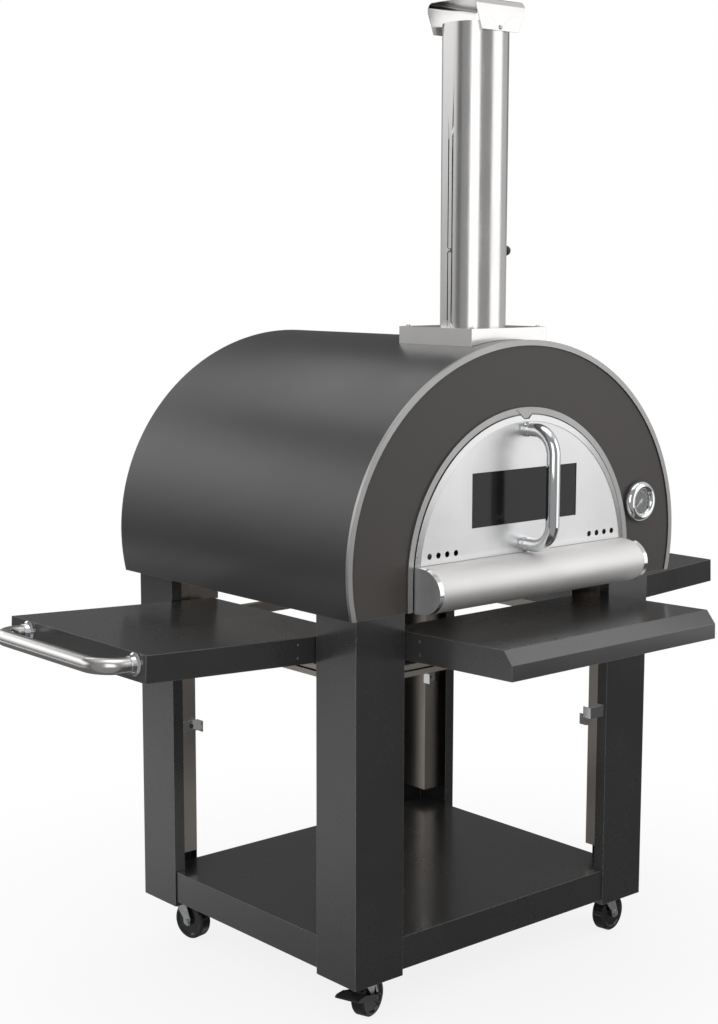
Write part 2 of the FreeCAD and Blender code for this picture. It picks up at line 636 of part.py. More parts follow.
def flue_hole(extra):
    return rod(FLUE_R + extra, (0, FLUE_Y, DOME_Z), (0, FLUE_Y, BOX_TOP + 50))


def outer_shell():
    """Wrapped arch skin from the front trim to the rear panel."""
    skin = shell_arch(0, BODY_Y0 + 5, BODY_Y1 - SHEET).cut(
        shell_arch(THIN, BODY_Y0, BODY_Y1, BODY_BOTTOM - 1))
    return skin.cut(flue_hole(0.5))


def front_panel():
    panel = shell_arch(THIN, BODY_Y0 + 3, BODY_Y0 + 3 + SHEET, BODY_BOTTOM)
    panel = panel.cut(mouth_block(MOUTH_R - 4, BODY_Y0 - 5, BODY_Y0 + 10, BODY_BOTTOM - 1))
    return panel.cut(rod(6.0, (GAUGE_X, BODY_Y0 - 5, GAUGE_Z), (GAUGE_X, BODY_Y0 + 10, GAUGE_Z)))


def front_edge_trim():
    """Bright angle trim around the front edge of the arch."""
    outside, lap = 1.2, 2.0
    block = shell_arch(-outside, BODY_Y0, BODY_Y0 + EDGE_WRAP)
    ring = block.cut(shell_arch(0, BODY_Y0 + lap, BODY_Y0 + EDGE_WRAP + 1, BODY_BOTTOM - 1))
    return ring.cut(shell_arch(EDGE_TRIM, BODY_Y0 - 1, BODY_Y0 + EDGE_WRAP + 1, BODY_BOTTOM - 1))


def rear_panel():
    """Back cover with a shallow pressed border."""
    panel = shell_arch(0, BODY_Y1 - SHEET, BODY_Y1)
    return panel.cut(shell_arch(40, BODY_Y1 - SHEET - 1, BODY_Y1 - SHEET + 0.5, BODY_BOTTOM + 40))


def base_pan():
    """Floor of the body, with its edges folded up inside the skin."""
    half = SHELL_A * math.sqrt(1 - ((BODY_BOTTOM - SHELL_Z) / SHELL_B) ** 2) - THIN - 0.6
    pan = box(-half, half, BODY_Y0 + 5, BODY_Y1 - SHEET, BODY_BOTTOM, BODY_BOTTOM + SHEET)
    back = box(-half, half, BODY_Y1 - 2 * SHEET, BODY_Y1 - SHEET, BODY_BOTTOM, BODY_BOTTOM + 20)
    return pan.fuse(back).removeSplitter()


def insulation():
    """Ceramic fibre blanket that fills the space between the vault and the skin."""
    y0, y1 = BODY_Y0 + 8, BODY_Y1 - SHEET - 3
    blanket = shell_arch(4, y0, y1, BODY_BOTTOM + 24)
    inner = arch(DOME_A + 1, DOME_B + 1, DOME_Z, TRAY_Z - 1, y0 - 1, DOME_Y1 + 3)
    blanket = blanket.cut(inner)
    blanket = blanket.cut(box(-HEARTH_HALF_X - 8, HEARTH_HALF_X + 8, y0 - 1, DOME_Y1 + 3,
                              BODY_BOTTOM, TRAY_Z + 1))
    blanket = blanket.cut(flue_hole(COLLAR_FLANGE + 1))
    return blanket.cut(rod(STEM_R + 1, (GAUGE_X, y0 - 1, GAUGE_Z), (GAUGE_X, STEM_TIP_Y + 2, GAUGE_Z)))


def inner_dome():
    """Stainless vault with a closed back, open towards the mouth."""
    vault = arch(DOME_A, DOME_B, DOME_Z, TRAY_Z + 3, DOME_Y0, DOME_Y1).cut(
        arch(DOME_A - SHEET, DOME_B - SHEET, DOME_Z, TRAY_Z - 1, DOME_Y0 - 1, DOME_Y1 - SHEET))
    front = arch(DOME_A - SHEET, DOME_B - SHEET, DOME_Z, TRAY_Z + 3, DOME_Y0, DOME_Y0 + SHEET)
    front = front.cut(mouth_block(STOP_R, DOME_Y0 - 5, DOME_Y0 + 10, TRAY_Z - 1))
    return vault.fuse(front).cut(rod(FLUE_R - 6, (0, FLUE_Y, DOME_Z), (0, FLUE_Y, BOX_TOP)))


def hearth_tray():
    """Steel tray under the firebricks, standing on two runners on the base pan."""
    half = HEARTH_HALF_X
    y0, y1 = DOME_Y0, DOME_Y1
    tray = box(-half - 5, half + 5, y0, y1, TRAY_Z, TRAY_Z + 3)
    for x in (-half + 40, half - 60):
        tray = tray.fuse(box(x, x + 20, y0 + 20, y1 - 20, BODY_BOTTOM + SHEET, TRAY_Z))
    return tray.removeSplitter()


def hearth_stones():
    """Square firebrick slabs laid in a grid with narrow joints."""
    stones = []
    count_x, count_y, joint = 2, 2, 1.0
    x0, y0 = -HEARTH_HALF_X + 4, DOME_Y0 + 20
    size_x = (2 * HEARTH_HALF_X - 8) / count_x
    size_y = (DOME_Y1 - 6 - y0) / count_y
    for i in range(count_x):
        for j in range(count_y):
            x, y = x0 + i * size_x, y0 + j * size_y
            stones.append(box(x, x + size_x - joint, y, y + size_y - joint,
                              HEARTH_TOP - TILE, HEARTH_TOP))
    return compound(stones)


def keeper(grow, y0, y1):
    """Tab that locates the door, wider at the top; grown, it is the notch in the door."""
    low, high = MOUTH_Z + KEEPER_LOW - grow, MOUTH_Z + MOUTH_R - 3
    half_low = KEEPER_HALF + grow
    half_high = half_low + (high - low) * KEEPER_FLARE
    return prism([(-half_low, y0, low), (half_low, y0, low), (half_high, y0, high), (-half_high, y0, high)],
                 (0, y1 - y0, 0))


def opening_trim():
    """Bright frame around the mouth, with a recessed stop, a stub collar and a keeper tab."""
    front, back = BODY_Y0 - 1, BODY_Y0 + 3
    stop_back, collar_low = back + SHEET, HEARTH_TOP - TILE
    half = STOP_R
    ring = mouth_block(MOUTH_R, front, back, BODY_BOTTOM)
    ring = ring.cut(mouth_block(MOUTH_R - MOUTH_TRIM, front - 1, back + 1, BODY_BOTTOM - 1))
    stop = mouth_block(MOUTH_R - 5, back, stop_back, collar_low)
    collar = mouth_block(half + SHEET, back, DOME_Y0, collar_low)
    seat = stop.fuse(collar).cut(mouth_block(half, back - 1, DOME_Y0 + 1, collar_low - 1))
    return ring.fuse(seat).fuse(keeper(0, front - 1, back)).removeSplitter()


def mouth_sill():
    """Steel plate from the hearth to the top of the front apron."""
    half = STOP_R - 1.5
    plate = box(-half, half, BODY_Y0 - 1, DOME_Y0 + 19, HEARTH_TOP - 3, HEARTH_TOP)
    lip = box(-half, half, BODY_Y0 - 1, BODY_Y0 + SHEET - 1, TRAY_Z + 4, HEARTH_TOP - 3)
    return plate.fuse(lip).removeSplitter()


def console_face(inset):
    """Outline of the apron in the plane x = 0: a short flat, then half an ellipse."""
    depth = CONSOLE_DEPTH - CONSOLE_FLAT - inset
    half = (CONSOLE_Z1 - CONSOLE_Z0) / 2 - inset
    middle = (CONSOLE_Z0 + CONSOLE_Z1) / 2
    back = BODY_Y0 - 1
    ellipse = Part.Ellipse(V(0, 0, 0), depth, half)
    arc = ellipse.toShape(-math.pi / 2, math.pi / 2)
    arc = arc.rotated(V(0, 0, 0), X_AXIS, 90).rotated(V(0, 0, 0), Z_AXIS, -90)
    arc = arc.translated(V(0, back - CONSOLE_FLAT, middle))
    ends = [v.Point for v in arc.Vertexes]
    roots = [V(0, back, end.z) for end in ends]
    return Part.Face(wire_of(arc, Part.makeLine(ends[0], roots[0]), Part.makeLine(roots[0], roots[1]),
                             Part.makeLine(roots[1], ends[1])))


def console_block(x0, x1, inset):
    return console_face(inset).translated(V(x0, 0, 0)).extrude(V(x1 - x0, 0, 0))


def console():
    """Half-round apron under the door, an open shell between its end caps."""
    half = CONSOLE_HALF_X - CONSOLE_CAP
    inset = 0.4
    outer = console_block(-half, half, inset)
    return outer.cut(console_block(-half - 1, half + 1, inset + THIN))


def console_cap(side):
    """End cap with a raised band; it closes the end of the apron."""
    x0, x1 = sorted((side * (CONSOLE_HALF_X - CONSOLE_CAP), side * CONSOLE_HALF_X))
    cap = console_block(x0, x1, 0)
    hollow0, hollow1 = sorted((side * (CONSOLE_HALF_X - CONSOLE_CAP - 1), side * (CONSOLE_HALF_X - 2)))
    return cap.cut(console_block(hollow0, hollow1, 2.0))


def console_caps():
    return compound([console_cap(-1), console_cap(1)])


# ---------------------------------------------------------------- door
def door_outline(radius, y0, y1, bottom=DOOR_BOTTOM):
    block = rod(radius, (0, y0, MOUTH_Z), (0, y1, MOUTH_Z))
    return block.cut(box(-radius - 1, radius + 1, y0 - 1, y1 + 1, MOUTH_Z - radius - 1, bottom))


def keeper_notch():
    return keeper(KEEPER_CLEARANCE, DOOR_FACE_Y - 20, PLUG_BACK_Y)


def window_cut(grow, y0, y1):
    return box(-WINDOW_HALF_X - grow, WINDOW_HALF_X + grow, y0, y1, WINDOW_Z0 - grow, WINDOW_Z1 + grow)


def vent_holes():
    return compound(rod(VENT_R, (s * x, DOOR_FACE_Y - 20, VENT_Z), (s * x, PLUG_BACK_Y + 5, VENT_Z))
                    for s in (-1, 1) for x in VENT_X)


def handle_bolt_holes(radius):
    return compound(rod(radius, (0, DOOR_FACE_Y - 20, z), (0, PLUG_BACK_Y + 20, z))
                    for z in (HANDLE_Z0, HANDLE_Z1))


def door_skin():
    """Outer face of the door with the window opening and the air vents."""
    skin = door_outline(DOOR_R - DOOR_RIM, DOOR_FACE_Y, DOOR_FACE_Y + SHEET)
    skin = skin.cut(window_cut(0, DOOR_FACE_Y - 1, DOOR_FACE_Y + 3))
    return skin.cut(vent_holes()).cut(handle_bolt_holes(4))


def door_rim():
    """Bright border on the arched edge of the door; it slopes back towards the outside."""
    inner, proud = DOOR_R - DOOR_RIM, 1.0
    profile = [(inner, -SHEET), (DOOR_R, -SHEET), (DOOR_R, proud - RIM_FALL), (inner, proud)]
    ring = turned(profile, (0, DOOR_FACE_Y, MOUTH_Z), V(0, -1, 0))
    below = box(-DOOR_R - 1, DOOR_R + 1, DOOR_FACE_Y - proud - 1, DOOR_FACE_Y + SHEET + 1,
                MOUTH_Z - DOOR_R - 1, DOOR_BOTTOM)
    return ring.cut(below).cut(keeper_notch())


def door_plug():
    """Inner steel box of the door that fits inside the mouth."""
    y0 = DOOR_FACE_Y + SHEET
    outer = door_outline(PLUG_R, y0, PLUG_BACK_Y, DOOR_BOTTOM + 4)
    inner = door_outline(PLUG_R - THIN, y0 - 1, PLUG_BACK_Y - THIN, DOOR_BOTTOM + 4 + THIN)
    plug = outer.cut(inner)
    tunnel = window_cut(6, y0 + 6, PLUG_BACK_Y - THIN).cut(window_cut(4, y0, PLUG_BACK_Y))
    plug = plug.fuse(tunnel).cut(window_cut(4, y0, PLUG_BACK_Y + 1))
    return plug.cut(vent_holes()).cut(handle_bolt_holes(4)).removeSplitter()


def door_insulation():
    """Fibre slab in the door, above the row of air vents."""
    y0, y1 = DOOR_FACE_Y + SHEET + 7, PLUG_BACK_Y - THIN - 0.5
    slab = door_outline(PLUG_R - 4, y0, y1, VENT_Z + VENT_R + 5).cut(window_cut(9, y0 - 1, y1 + 1))
    return slab.cut(handle_bolt_holes(6))


def door_glass():
    y = DOOR_FACE_Y + SHEET
    return window_cut(3.5, y + 0.1, y + 4.1)


def window_clips():
    """Clips behind the skin that hold the glass at its two long edges."""
    y = DOOR_FACE_Y + SHEET
    clips = []
    for x in (-90, 0, 90):
        for z, s in ((WINDOW_Z0 - 3.5, -1), (WINDOW_Z1 + 3.5, 1)):
            z0, z1 = sorted((z, z + s * 1.5))
            clips.append(box(x - 8, x + 8, y, y + 5.5, z0, z1))
    return compound(clips)


def door_handle():
    points = [(0, DOOR_FACE_Y, HANDLE_Z0), (0, HANDLE_Y, HANDLE_Z0), (0, HANDLE_Y, HANDLE_Z1),
              (0, DOOR_FACE_Y, HANDLE_Z1)]
    return bent_tube(points, HANDLE_BEND, HANDLE_RADIUS).cut(handle_bolt_holes(4))


def door_handle_flanges():
    rim, sleeve = HANDLE_RADIUS + 1.25, HANDLE_RADIUS + 0.85
    profile = [(HANDLE_RADIUS, 0), (rim, 0), (rim, 4), (sleeve, 5), (sleeve, 12), (HANDLE_RADIUS, 12)]
    return compound(turned(profile, (0, DOOR_FACE_Y, z), V(0, -1, 0)) for z in (HANDLE_Z0, HANDLE_Z1))


def door_handle_bolts():
    """Bolts from inside the door into the handle's ends."""
    made = []
    for z in (HANDLE_Z0, HANDLE_Z1):
        profile = [(0, 0), (8, 0), (8, 4), (3.9, 4), (3.9, PLUG_BACK_Y - DOOR_FACE_Y + 22),
                   (0, PLUG_BACK_Y - DOOR_FACE_Y + 22)]
        made.append(turned(profile, (0, PLUG_BACK_Y + 4, z), V(0, -1, 0)))
    return compound(made)


# ---------------------------------------------------------------- thermometer
def gauge_part(profile):
    return turned(profile, (GAUGE_X, BODY_Y0 + 3, GAUGE_Z), V(0, -1, 0))


def gauge_housing():
    """Chromed cup with a rolled bezel."""
    r, d, dial = GAUGE_R, GAUGE_DEPTH, GAUGE_R - BEZEL
    return gauge_part([(0, 0), (r - 3, 0), (r, 4), (r, 8), (r - 2, d - 5), (r - 6, d - 1.5), (r - 10, d),
                       (r - 14, d - 1), (r - 17, d - 4), (dial, d - 6.5), (dial, 4), (0, 4)])


def gauge_dial():
    edge = GAUGE_R - BEZEL - 0.1
    return gauge_part([(3, 4), (edge, 4), (edge, 6), (3, 6)])


def gauge_glass():
    edge = GAUGE_R - BEZEL - 0.1
    return gauge_part([(0, 9.5), (edge, 9.5), (edge, 11), (0, 11)])


def gauge_stem():
    """Straight probe that lies beside the vault's wall, inside the blanket."""
    return rod(STEM_R, (GAUGE_X, BODY_Y0 + 3, GAUGE_Z), (GAUGE_X, STEM_TIP_Y, GAUGE_Z))


def gauge_pointer():
    """Needle on a small hub, turned by the probe's coil."""
    y, needle_length = BODY_Y0 + 3 - 8.5, 17
    hub = rod(3.5, (GAUGE_X, y, GAUGE_Z), (GAUGE_X, y + 2.0, GAUGE_Z))
    shaft = rod(1.2, (GAUGE_X, y + 2.0, GAUGE_Z), (GAUGE_X, BODY_Y0 + 3 - 4.1, GAUGE_Z))
    needle = prism([(GAUGE_X - 2, y + 0.4, GAUGE_Z - 7), (GAUGE_X + 2, y + 0.4, GAUGE_Z - 7),
                    (GAUGE_X + 0.6, y + 0.4, GAUGE_Z + needle_length),
                    (GAUGE_X - 0.6, y + 0.4, GAUGE_Z + needle_length)],
                   (0, 1.0, 0))
    pointer = hub.fuse(shaft).fuse(needle).removeSplitter()
    return pointer.rotated(V(GAUGE_X, 0, GAUGE_Z), Y_AXIS, -130)


# ---------------------------------------------------------------- chimney
def flue_box():
    """Square flashing over the arch; its lower edges follow the skin."""
    low = SHELL_Z
    outer = box(-BOX_HALF_X, BOX_HALF_X, BOX_Y0, BOX_Y1, low, BOX_TOP)
    inner = box(-BOX_HALF_X + SHEET, BOX_HALF_X - SHEET, BOX_Y0 + SHEET, BOX_Y1 - SHEET,
                low - 1, BOX_TOP - SHEET)
    shell = outer.cut(inner).cut(shell_arch(0, BODY_Y0, BODY_Y1, low - 5))
    return shell.cut(flue_hole(0.3)).cut(compound(flashing_screws()))


def flashing_screws():
    """Screws in the corners of the flashing's top, as solids."""
    spots = [(sx * (BOX_HALF_X - 12), y) for sx in (-1, 1) for y in (BOX_Y0 + 12, BOX_Y1 - 12)]
    return [screw((x, y, BOX_TOP), (0, 0, 1), 4.5, 3.0, SHEET, 2.5) for x, y in spots]


def flue_collar():
    """Short ring on top of the vault that carries the flue."""
    ring = tube(FLUE_R + COLLAR_FLANGE, FLUE_R - 6, (0, FLUE_Y, FLUE_BOTTOM - 40), (0, FLUE_Y, FLUE_BOTTOM))
    ring = ring.fuse(tube(FLUE_R + 2.6, FLUE_R + 0.2, (0, FLUE_Y, FLUE_BOTTOM),
                          (0, FLUE_Y, FLUE_BOTTOM + 30)))
    return ring.cut(arch(DOME_A, DOME_B, DOME_Z, TRAY_Z, DOME_Y0, DOME_Y1)).removeSplitter()


def damper_rod_cut(radius):
    return rod(radius, (-200, FLUE_Y, DAMPER_Z), (200, FLUE_Y, DAMPER_Z))


def flue_pipe():
    pipe = tube(FLUE_R, FLUE_R - FLUE_WALL, (0, FLUE_Y, FLUE_BOTTOM), (0, FLUE_Y, FLUE_TOP))
    return pipe.cut(damper_rod_cut(ROD_R + RUNNING))


def damper_plate():
    """Round throttle plate with a sleeve for the rod; it hangs edge-on when open."""
    disc = rod(DAMPER_PLATE_R, (0, FLUE_Y - 1, DAMPER_Z), (0, FLUE_Y + 1, DAMPER_Z))
    sleeve = rod(ROD_R + 2, (-50, FLUE_Y, DAMPER_Z), (50, FLUE_Y, DAMPER_Z))
    return disc.fuse(sleeve).cut(damper_rod_cut(ROD_R)).removeSplitter()


def damper_rod():
    return rod(ROD_R, (-FLUE_R - 7, FLUE_Y, DAMPER_Z), (FLUE_R + 20, FLUE_Y, DAMPER_Z))


def damper_knob():
    centre = (FLUE_R + 24, FLUE_Y, DAMPER_Z)
    ball = Part.makeSphere(9.5, V(*centre)).fuse(
        rod(6.5, (FLUE_R + 11, FLUE_Y, DAMPER_Z), centre))
    return ball.cut(rod(ROD_R, (FLUE_R, FLUE_Y, DAMPER_Z), (FLUE_R + 20, FLUE_Y, DAMPER_Z)))


def cap_outline(offset):
    """Side outline of the rain cap: two walls and a flat top joined by round bends."""
    half = FLUE_R + 2.0 - offset
    top, bottom = CAP_TOP - offset, CAP_TOP - CAP_WALL - 2 * offset
    bend = CAP_BEND - offset
    corner = bend * (1 - math.sqrt(0.5))
    left = [V(0, -half, bottom), V(0, -half, top - bend), V(0, -half + corner, top - corner),
            V(0, -half + bend, top)]
    right = [V(0, -p.y, p.z) for p in left]
    return [Part.makeLine(left[0], left[1]), Part.Arc(left[1], left[2], left[3]).toShape(),
            Part.makeLine(left[3], right[3]), Part.Arc(right[3], right[2], right[1]).toShape(),
            Part.makeLine(right[1], right[0]), Part.makeLine(right[0], left[0])]


def cap_side_cut(side):
    """Wedge that tapers the cap's walls towards their lower corners."""
    x = side * (CAP_HALF_X + 2)
    low = CAP_TOP - CAP_WALL - 4
    points = [(x, -120, low), (side * (CAP_HALF_X - 16), -120, low), (side * (CAP_HALF_X - 11), -120, low + 14),
              (side * CAP_HALF_X, -120, CAP_TOP - CAP_BEND - 6), (x, -120, CAP_TOP - CAP_BEND - 6)]
    return prism(points, (0, 240, 0))


def flue_cap():
    """Rain cap: one strip bent over the flue, open to the left and right."""
    outer = Part.Face(Part.Wire(cap_outline(0))).extrude(V(2 * CAP_HALF_X, 0, 0))
    inner = Part.Face(Part.Wire(cap_outline(SHEET))).extrude(V(2 * CAP_HALF_X + 2, 0, 0))
    cap = outer.cut(inner.translated(V(-1, 0, 0))).translated(V(-CAP_HALF_X, 0, 0))
    for side in (-1, 1):
        cap = cap.cut(cap_side_cut(side))
    cap = cap.translated(V(0, FLUE_Y, 0))
    for side in (-1, 1):
        cap = cap.cut(rod(2, (0, FLUE_Y, FLUE_TOP - 11), (0, FLUE_Y + side * 100, FLUE_TOP - 11)))
    return cap


def chimney_screws():
    """Screws of the rain cap and of the flashing."""
    reach = FLUE_R + 2.0
    cap = [screw((0, FLUE_Y + s * reach, FLUE_TOP - 11), (0, s, 0), 4.0, 2.6, 1.4, 1.9)
           for s in (-1, 1)]
    return compound(cap + flashing_screws())


# ---------------------------------------------------------------- output
def write(name, shape):
    shape = shape.translated(V(-ORIGIN_X, -ORIGIN_Y, 0))
    shape.exportStep("parts/" + name + ".step")


def main():
    os.makedirs("parts", exist_ok=True)
    for name, sx, sy, heading, braked in CASTERS:
        fork = compound([caster_fork(), caster_axle()])
        write("caster_fork_" + name, at_caster(fork, sx, sy, heading))
        write("caster_wheel_" + name, at_caster(caster_wheel(), sx, sy, heading))
        if braked:
            write("brake_pedal_" + name, at_caster(brake_pedal(), sx, sy, heading))
    write("left_table", side_table(-1))
    write("right_table", side_table(1))
    for piece in (leg_covers, leg_columns, leg_end_plates, bottom_shelf, tie_rails, tool_hooks,
                  front_table, support_brackets, cart_screws, table_grip, table_grip_flanges,
                  caster_top_plates, caster_fasteners, outer_shell,
                  front_panel, front_edge_trim, rear_panel, base_pan, insulation, inner_dome,
                  hearth_tray, hearth_stones, opening_trim, mouth_sill, console, console_caps,
                  door_skin, door_rim, door_plug, door_insulation, door_glass, window_clips,
                  door_handle, door_handle_flanges, door_handle_bolts, gauge_housing,
                  gauge_dial, gauge_glass, gauge_stem, gauge_pointer, flue_box, flue_collar,
                  flue_pipe, damper_plate, damper_rod, damper_knob, flue_cap, chimney_screws):
        write(piece.__name__, piece())


main()
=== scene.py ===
import json
import math

import bmesh
import bpy
from mathutils import Matrix, Vector

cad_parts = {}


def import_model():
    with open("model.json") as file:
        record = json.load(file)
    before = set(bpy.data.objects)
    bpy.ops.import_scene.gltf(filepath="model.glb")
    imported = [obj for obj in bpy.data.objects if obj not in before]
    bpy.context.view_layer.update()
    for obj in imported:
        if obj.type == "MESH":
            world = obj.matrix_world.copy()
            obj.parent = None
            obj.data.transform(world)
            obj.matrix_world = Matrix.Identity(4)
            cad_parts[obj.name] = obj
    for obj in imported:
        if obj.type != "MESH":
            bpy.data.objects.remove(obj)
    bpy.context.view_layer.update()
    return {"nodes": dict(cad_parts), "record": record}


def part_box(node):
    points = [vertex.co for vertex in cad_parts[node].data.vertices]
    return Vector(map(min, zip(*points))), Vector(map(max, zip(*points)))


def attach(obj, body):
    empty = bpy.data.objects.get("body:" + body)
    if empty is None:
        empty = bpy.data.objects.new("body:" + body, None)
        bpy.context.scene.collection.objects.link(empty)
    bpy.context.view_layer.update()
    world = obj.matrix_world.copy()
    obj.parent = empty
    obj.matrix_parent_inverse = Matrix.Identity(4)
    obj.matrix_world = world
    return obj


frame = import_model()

# Wood fired pizza oven on a cart. Metres, +Z up and -Y to the front, in the frame of the CAD model.
MM = 0.001
NODES = frame["nodes"]
RECORD = frame["record"]
SCENE = bpy.context.scene

# Nodes whose finish differs from the rest of their material slot
SPECIAL_FINISH = {"door_skin": "door_stainless", "door_rim": "rim_stainless", "console_caps": "end_cap"}

# Rounding of the edges: fine fittings, cut sheet, folded sheet and firebrick
FINE_EDGE, SHEET_EDGE, FOLDED_EDGE, STONE_EDGE = 0.15 * MM, 0.35 * MM, 0.7 * MM, 2.0 * MM
FINE_NODES = ("gauge", "window", "cart_screws", "chimney_screws", "caster_fasteners", "damper_rod",
              "flue_pipe", "door_handle_bolts", "table_grip_flanges", "door_handle_flanges")
FOLDED_NODES = ("front_table", "left_table", "right_table", "bottom_shelf", "leg_covers", "flue_box")
EDGE_SEGMENTS = 2
SHARP_ANGLE = math.radians(32)
WELD_GAP = 0.01 * MM

# Scale of the thermometer: a tick's length and width, its height, and the plain margin round the dial
TICKS = 27
TICK_SWEEP, TICK_MIDDLE = math.radians(260), math.radians(90)
LONG_TICK, SHORT_TICK = (3.4 * MM, 0.8 * MM), (1.8 * MM, 0.45 * MM)
TICK_RELIEF = 0.3 * MM
DIAL_MARGIN = 1.0 * MM

# Noise values lie mostly in this range
NOISE_LOW, NOISE_HIGH = 0.3, 0.7

# Sockets of the mixing node that hold colours
MIX_FIRST, MIX_SECOND, MIX_RESULT = 6, 7, 2

# Rubbed edges of the paint: colour, reach in from the edge, and the bend at which wear starts and is full
RUBBED_COLOUR = (0.30, 0.30, 0.31)
RUBBED_REACH = 1.6 * MM
UNWORN_COSINE, WORN_COSINE = 0.995, 0.80

# Brushed metal: scale of the noise along the grain, against 1 across it
GRAIN_STRETCH = 0.006

# Floor: it turns into the white surroundings between two distances from the middle
FLOOR_SIZE = 60.0
FLOOR_COLOUR = (0.80, 0.80, 0.80)
FADE_START, FADE_END, FADE_LEAST = 0.4, 1.6, 0.85

# Ambient light: its level at two heights, and how much stronger it is from the left (-X) than from the right
AMBIENT_HEIGHTS, AMBIENT_LEVELS = (-0.3, 0.6), (0.45, 0.75)
LEFT_GAIN, RIGHT_GAIN = 1.30, 0.50

# The studio that polished surfaces reflect. A side is a span of azimuths, in degrees from +X. A height is the
# z part of a unit direction, and a span of heights is where one level turns into the next.
REAR_LEFT, REAR_RIGHT, RIGHT = (72, 160), (12, 72), (-34, 12)
FRONT_LOW, FRONT_HIGH, LEFT_GAP = (-80, -18), (-70, 30), (162, 180)
WIDE_FEATHER, FRONT_FEATHER, GAP_FEATHER = 10, 8, 5
SURROUND_LEVEL, RIGHT_LEVEL, GAP_LEVEL, CEILING_LEVEL = 0.30, 0.50, 0.14, 0.7
FRONT_FLOOR_LEVEL, FRONT_HIGH_LEVEL = 0.08, 0.65
FRONT_FLOOR_END, FRONT_HIGH_START, CEILING_START = (-0.14, -0.06), (0.22, 0.34), (0.75, 0.95)
# Wall at the rear left, from the floor up: dark floor, a pale strip of it, a dim foot, a bright face, a top
DARK_FLOOR_LEVEL, FLOOR_STRIP_LEVEL = 0.16, 0.86
FOOT_LEVEL, FACE_LEVEL, BRIGHT_LEVEL, TOP_LEVEL = 0.06, 0.55, 1.75, 0.20
FLOOR_STRIP_START, FLOOR_STRIP_END = (-0.375, -0.325), (-0.25, -0.19)
FOOT_SPAN, FACE_SPAN = (-0.18, 0.02), (0.02, 0.34)
FACE_START, FACE_END = (0.00, 0.04), (0.47, 0.58)
# Wall at the rear right: brighter towards the horizon, then dark
LOW_SPAN, LOW_LEVELS = (-0.45, -0.05), (0.12, 0.50)
HORIZON, RIGHT_TOP_LEVEL = (-0.02, 0.06), 0.16

# Camera: place, angles in degrees and lens in millimetres
CAMERA_PLACE = Vector((-2.2852, -2.4488, 1.3636))
CAMERA_YAW, CAMERA_PITCH, CAMERA_ROLL = -40.942, -7.977, 0.115
CAMERA_LENS, CAMERA_SENSOR = 61.72, 36.0


# ---------------------------------------------------------------- shader helpers
def add(tree, kind, values=None, **props):
    """Add a shader node; values are numbers or sockets for its inputs, props are its settings."""
    made = tree.nodes.new(kind)
    for name, value in props.items():
        setattr(made, name, value)
    for key, value in (values or {}).items():
        if isinstance(value, bpy.types.NodeSocket):
            tree.links.new(value, made.inputs[key])
        else:
            made.inputs[key].default_value = value
    return made


def maths(tree, operation, a, b=0.0):
    """Result of one sum on two values or sockets."""
    return add(tree, "ShaderNodeMath", {0: a, 1: b}, operation=operation).outputs[0]


def remap(tree, value, old, new, smooth=False):
    """Scale a value from one span to another, held at the ends."""
    kind = "SMOOTHSTEP" if smooth else "LINEAR"
    spans = {"Value": value, "From Min": old[0], "From Max": old[1], "To Min": new[0], "To Max": new[1]}
    return add(tree, "ShaderNodeMapRange", spans, interpolation_type=kind).outputs[0]


def spread(tree, value, low, high):
    """Scale a noise value so that it runs mostly from low to high."""
    return remap(tree, value, (NOISE_LOW, NOISE_HIGH), (low, high))


def colour_mix(tree, share, first, second):
    """first where share is 0, second where it is 1; colours or sockets."""
    mixed = add(tree, "ShaderNodeMix", {0: share}, data_type="RGBA")
    for index, colour in ((MIX_FIRST, first), (MIX_SECOND, second)):
        if isinstance(colour, bpy.types.NodeSocket):
            tree.links.new(colour, mixed.inputs[index])
        else:
            mixed.inputs[index].default_value = (*colour, 1.0)
    return mixed.outputs[MIX_RESULT]


def blend_values(tree, share, first, second):
    """The same for plain values."""
    rest = maths(tree, "SUBTRACT", 1.0, share)
    return maths(tree, "ADD", maths(tree, "MULTIPLY", rest, first), maths(tree, "MULTIPLY", share, second))


def noise(tree, place, scale, detail=2.0, roughness=0.5, stretch=None):
    """Noise value, 0 to 1, at a number of cycles per metre; stretch scales each axis."""
    if stretch:
        place = add(tree, "ShaderNodeMapping", {"Vector": place, "Scale": stretch}).outputs[0]
    values = {"Vector": place, "Scale": scale, "Detail": detail, "Roughness": roughness}
    return add(tree, "ShaderNodeTexNoise", values).outputs[0]


def bump(tree, height, strength, depth):
    """Normal of a surface with small relief; depth in metres."""
    values = {"Height": height, "Strength": strength, "Distance": depth}
    return add(tree, "ShaderNodeBump", values).outputs[0]


def shade(colour, factor):
    """Colour made darker or lighter, at most white."""
    return tuple(min(1.0, c * factor) for c in colour)


def begin(name):
    """New material, its tree, its surface shader and the place on the object."""
    material = bpy.data.materials.new(name)
    material.use_nodes = True
    tree = material.node_tree
    shader = tree.nodes["Principled BSDF"]
    place = add(tree, "ShaderNodeTexCoord").outputs["Object"]
    return material, tree, shader, place


def settle(tree, shader, values):
    """Set or connect the surface shader's inputs."""
    for key, value in values.items():
        if isinstance(value, bpy.types.NodeSocket):
            tree.links.new(value, shader.inputs[key])
        elif key == "Base Color":
            shader.inputs[key].default_value = (*value, 1.0)
        else:
            shader.inputs[key].default_value = value


def edge_mask(tree, reach):
    """0 on flat stretches and near 1 along worn outer edges."""
    soft = add(tree, "ShaderNodeBevel", {"Radius": reach}, samples=4).outputs[0]
    sharp = add(tree, "ShaderNodeNewGeometry").outputs["True Normal"]
    same = add(tree, "ShaderNodeVectorMath", {0: soft, 1: sharp}, operation="DOT_PRODUCT").outputs["Value"]
    return remap(tree, same, (UNWORN_COSINE, WORN_COSINE), (0.0, 1.0))


